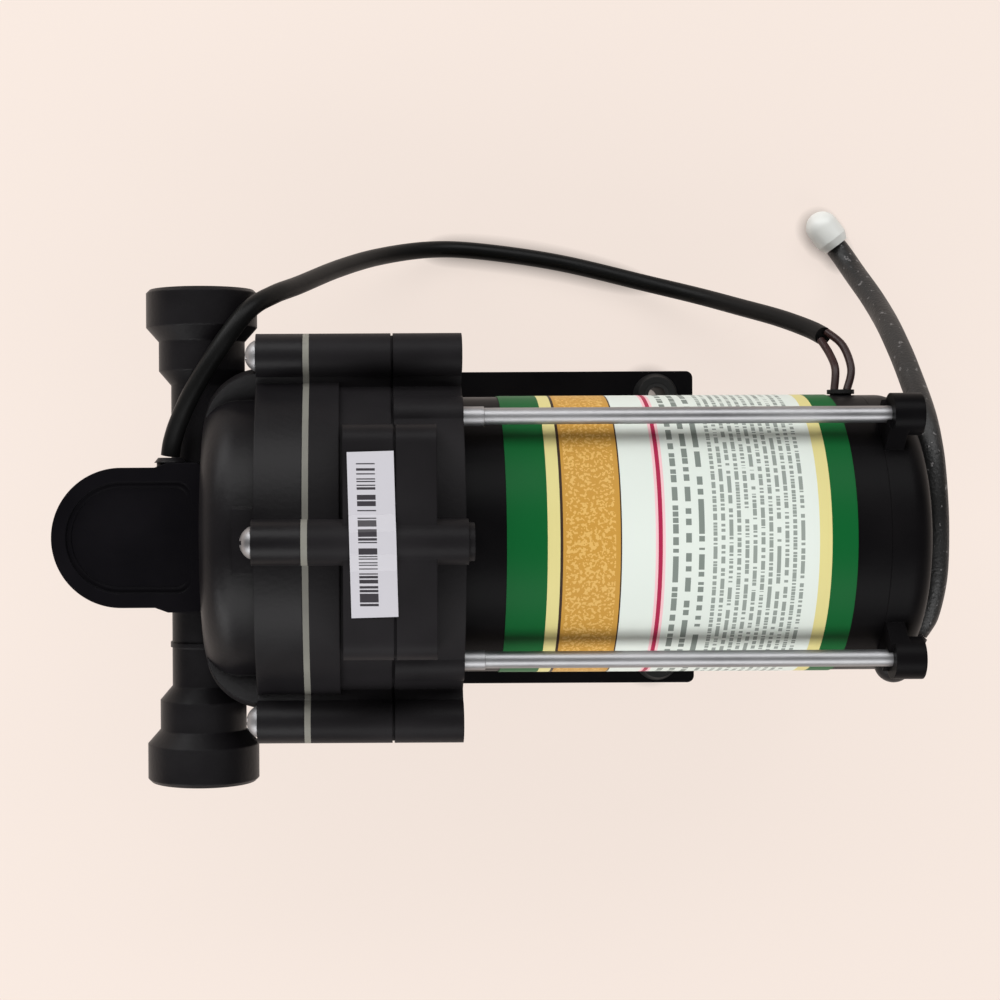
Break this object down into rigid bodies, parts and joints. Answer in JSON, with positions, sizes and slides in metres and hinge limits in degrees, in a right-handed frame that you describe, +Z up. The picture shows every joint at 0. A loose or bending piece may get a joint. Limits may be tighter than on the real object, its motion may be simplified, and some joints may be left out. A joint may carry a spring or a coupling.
{
  "type": "caravan water pump",
  "caption": "Diaphragm water pump with a wobble-plate head, side ports, pressure switch and a round motor on a rubber-footed base.",
  "frame": {"origin": "middle of the four foot holes, on the floor plane under the feet", "axes": "+Z up, +X along the pump axis from the head to the motor's rear, +Y to the inlet port"},
  "size_m": [0.2088, 0.1427, 0.1112],
  "materials": {
    "black_plastic": "moulded, fine texture",
    "black_paint": "gloss black paint",
    "pale_plastic": "moulded",
    "dark_rubber": "moulded rubber",
    "cream_rubber": "moulded elastomer",
    "grey_alloy": "die cast",
    "steel": "ground steel",
    "zinc": "bright zinc plate",
    "printed_wrap": "printed gloss film",
    "magnet": "sintered ferrite",
    "core_steel": "laminated steel",
    "copper": "copper",
    "brown_plastic": "moulded phenolic",
    "carbon": "sintered carbon",
    "blue_plastic": "moulded",
    "red_plastic": "moulded",
    "cable_jacket": "smooth jacket",
    "lead_insulation": "smooth insulation",
    "sleeve": "varnished sleeve",
    "clear_nylon": "translucent nylon",
    "paper": "printed paper film"
  },
  "bodies": {
    "pump_body": {"front_cover": "black_plastic", "valve_plate": "pale_plastic", "inlet_valves": "dark_rubber", "outlet_valve": "dark_rubber", "diaphragm": "cream_rubber", "housing_front": "black_plastic", "housing_rear": "black_plastic", "head_screws": "zinc", "motor_can": "black_paint", "motor_wrap": "printed_wrap", "magnets": "magnet", "front_bearing": "steel", "rear_bearing": "steel", "brush_holder": "brown_plastic", "brushes": "carbon", "brush_springs": "steel", "rear_cap": "black_paint", "through_bolts": "zinc", "base_bracket": "black_paint", "bracket_screws": "zinc", "rubber_feet": "dark_rubber", "foot_bushes": "zinc", "lead_grommet": "dark_rubber", "switch_body": "black_plastic", "switch_cover": "black_plastic", "switch_diaphragm": "dark_rubber", "switch_spring": "steel", "spring_plate": "steel", "microswitch": "blue_plastic", "switch_cover_screws": "zinc", "switch_mount_screw": "zinc", "spigot_ring": "dark_rubber", "cable_gland": "black_plastic", "switch_cable": "cable_jacket", "cable_wires": "lead_insulation", "lead_spout": "black_plastic", "lead_sleeve": "sleeve", "crimp_cap": "clear_nylon", "paper_sticker": "paper"},
    "rotor": {"motor_shaft": "steel", "armature_core": "core_steel", "windings": "copper", "commutator": "copper", "eccentric_hub": "grey_alloy", "hub_set_screw": "steel"},
    "wobble": {"wobble_plate": "pale_plastic", "wobble_bearing": "steel", "piston_pads": "cream_rubber", "piston_screws": "steel"},
    "plunger": {"switch_plunger": "pale_plastic"},
    "button": {"microswitch_button": "red_plastic"}
  },
  "joints": [
    {"name": "rotor_spin", "type": "hinge", "parent": "pump_body", "child": "rotor", "pos_m": [0, 0, 0.058], "axis": [1, 0, 0], "continuous": true},
    {"name": "wobble_nutate", "type": "hinge", "parent": "rotor", "child": "wobble", "pos_m": [-0.0602, 0, 0.058], "axis": [0.9981, 0, 0.061], "continuous": true},
    {"name": "plunger_slide", "type": "slide", "parent": "pump_body", "child": "plunger", "axis": [0, 0, 1], "range_m": [0, 0.001], "stiffness_N_per_m": 400, "deforming": ["switch_spring"]},
    {"name": "button_slide", "type": "slide", "parent": "pump_body", "child": "button", "axis": [0, 0, 1], "range_m": [0, 0.001]}
  ],
  "couplings": [
    {"joint": "wobble_nutate", "follows": "rotor_spin", "ratio": -1},
    {"joint": "button_slide", "follows": "plunger_slide", "ratio": 1}
  ]
}
